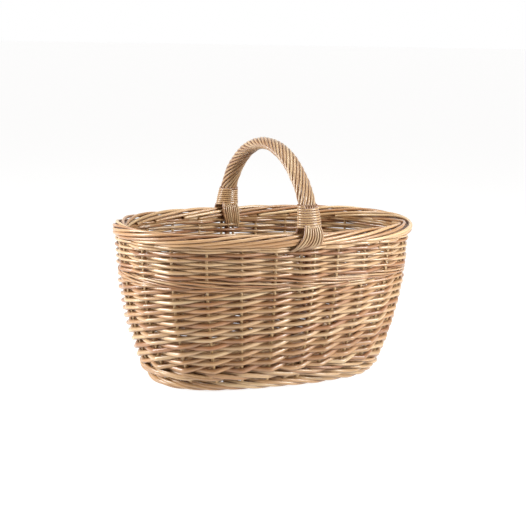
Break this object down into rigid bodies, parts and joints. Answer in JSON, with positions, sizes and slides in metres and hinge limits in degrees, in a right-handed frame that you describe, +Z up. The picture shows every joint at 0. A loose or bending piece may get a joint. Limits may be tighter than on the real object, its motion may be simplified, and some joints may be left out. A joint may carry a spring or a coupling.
{
  "type": "woven market basket",
  "caption": "Oval woven willow market basket with flared sides, plaited rim, rolled foot and one fixed roped handle arching over its width.",
  "frame": {"origin": "on the floor, under the middle of the foot", "axes": "+X along the basket's length, +Y across it (the handle arches in the YZ plane), +Z up"},
  "size_m": [0.467, 0.312, 0.357],
  "materials": {
    "sticks": "satin",
    "base": "satin",
    "stakes": "satin",
    "foot": "satin",
    "wale": "satin",
    "lower_rand": "satin",
    "middle_wale": "satin",
    "upper_rand": "satin",
    "rim": "satin",
    "bow": "satin",
    "roping": "satin",
    "collar": "satin",
    "strands": "satin",
    "pegs_liners": "satin"
  },
  "bodies": {
    "root": {"base_long_sticks": "sticks", "base_cross_sticks": "sticks", "base_weave": "base", "side_stakes": "stakes", "foot_border": "foot", "upsett_wale": "wale", "lower_rand_bottom": "lower_rand", "lower_rand_middle": "lower_rand", "lower_rand_top": "lower_rand", "middle_wale": "middle_wale", "upper_rand": "upper_rand", "rim_border": "rim", "handle_bow": "bow", "handle_roping": "roping", "front_handle_collar": "collar", "back_handle_collar": "collar", "front_outer_strands": "strands", "front_inner_strands": "strands", "back_outer_strands": "strands", "back_inner_strands": "strands", "front_handle_liner": "pegs_liners", "back_handle_liner": "pegs_liners", "front_handle_peg": "pegs_liners", "back_handle_peg": "pegs_liners"}
  },
  "joints": []
}
